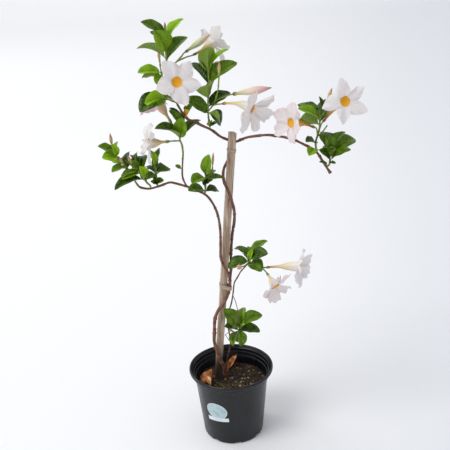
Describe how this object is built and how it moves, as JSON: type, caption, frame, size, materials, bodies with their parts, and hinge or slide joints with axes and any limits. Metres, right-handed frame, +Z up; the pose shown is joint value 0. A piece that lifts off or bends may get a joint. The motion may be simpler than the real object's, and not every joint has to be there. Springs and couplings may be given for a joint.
{
  "type": "potted dipladenia",
  "caption": "Climbing plant with white trumpet blooms, buds and glossy leaves, its twining stem tied to a square wooden stake in a round black nursery pot of soil.",
  "frame": {"origin": "middle of the pot's flat bottom, on the ground", "axes": "+Z up along the pot's axis, -Y towards the viewer of the picture, +X to the viewer's right"},
  "size_m": [0.4506, 0.1701, 0.8041],
  "materials": {
    "pot_plastic": "satin black nursery pot",
    "potting_soil": "moist potting mix with bark and fibres",
    "weathered_wood": "sawn, weathered grey-brown",
    "tie_band": "translucent beige band",
    "label_paper": "plain pale blue sticker",
    "bark": "smooth reddish brown bark",
    "leaf": "glossy leaf",
    "white_petal": "soft satin petal",
    "pink_petal": "soft satin petal with a pink blush",
    "bud": "satin, green to cream to pink",
    "dry_leaf": "dry orange-brown leaf",
    "withered_leaf": "yellowed leaf"
  },
  "bodies": {
    "root": {"pot": "pot_plastic", "soil": "potting_soil", "stake": "weathered_wood", "tie_lower": "tie_band", "tie_upper": "tie_band", "label": "label_paper", "woody_stems": "bark", "low_stem": "bark", "shoot_top_left": "leaf", "shoot_top_middle": "leaf", "shoot_riser": "leaf", "shoot_left_outer": "leaf", "shoot_left_middle": "leaf", "shoot_left_inner": "leaf", "shoot_low_left": "leaf", "shoot_right_upper": "leaf", "shoot_right_lower": "leaf", "shoot_low_right": "leaf", "shoot_low_front": "leaf", "leaf_small_green": "leaf", "leaf_withered_yellow": "withered_leaf", "leaf_riser": "leaf", "dry_leaf_left": "dry_leaf", "dry_leaf_right": "dry_leaf", "bloom_front_left": "white_petal", "bloom_top": "white_petal", "bloom_side": "white_petal", "bloom_right_pink": "pink_petal", "bloom_right_white": "white_petal", "bloom_low_front": "pink_petal", "bloom_low_side": "white_petal", "bloom_behind_left": "pink_petal", "bloom_left_edge": "white_petal", "bud_top": "bud", "bud_pink": "bud", "bud_upright": "bud", "bud_shoot_tip": "bud", "bud_side_shoot": "bud", "bud_right": "bud", "bud_left_tip": "bud", "bud_left_fore": "bud", "bud_left_hind": "bud", "bud_low_left": "bud", "bud_round": "bud"}
  },
  "joints": []
}
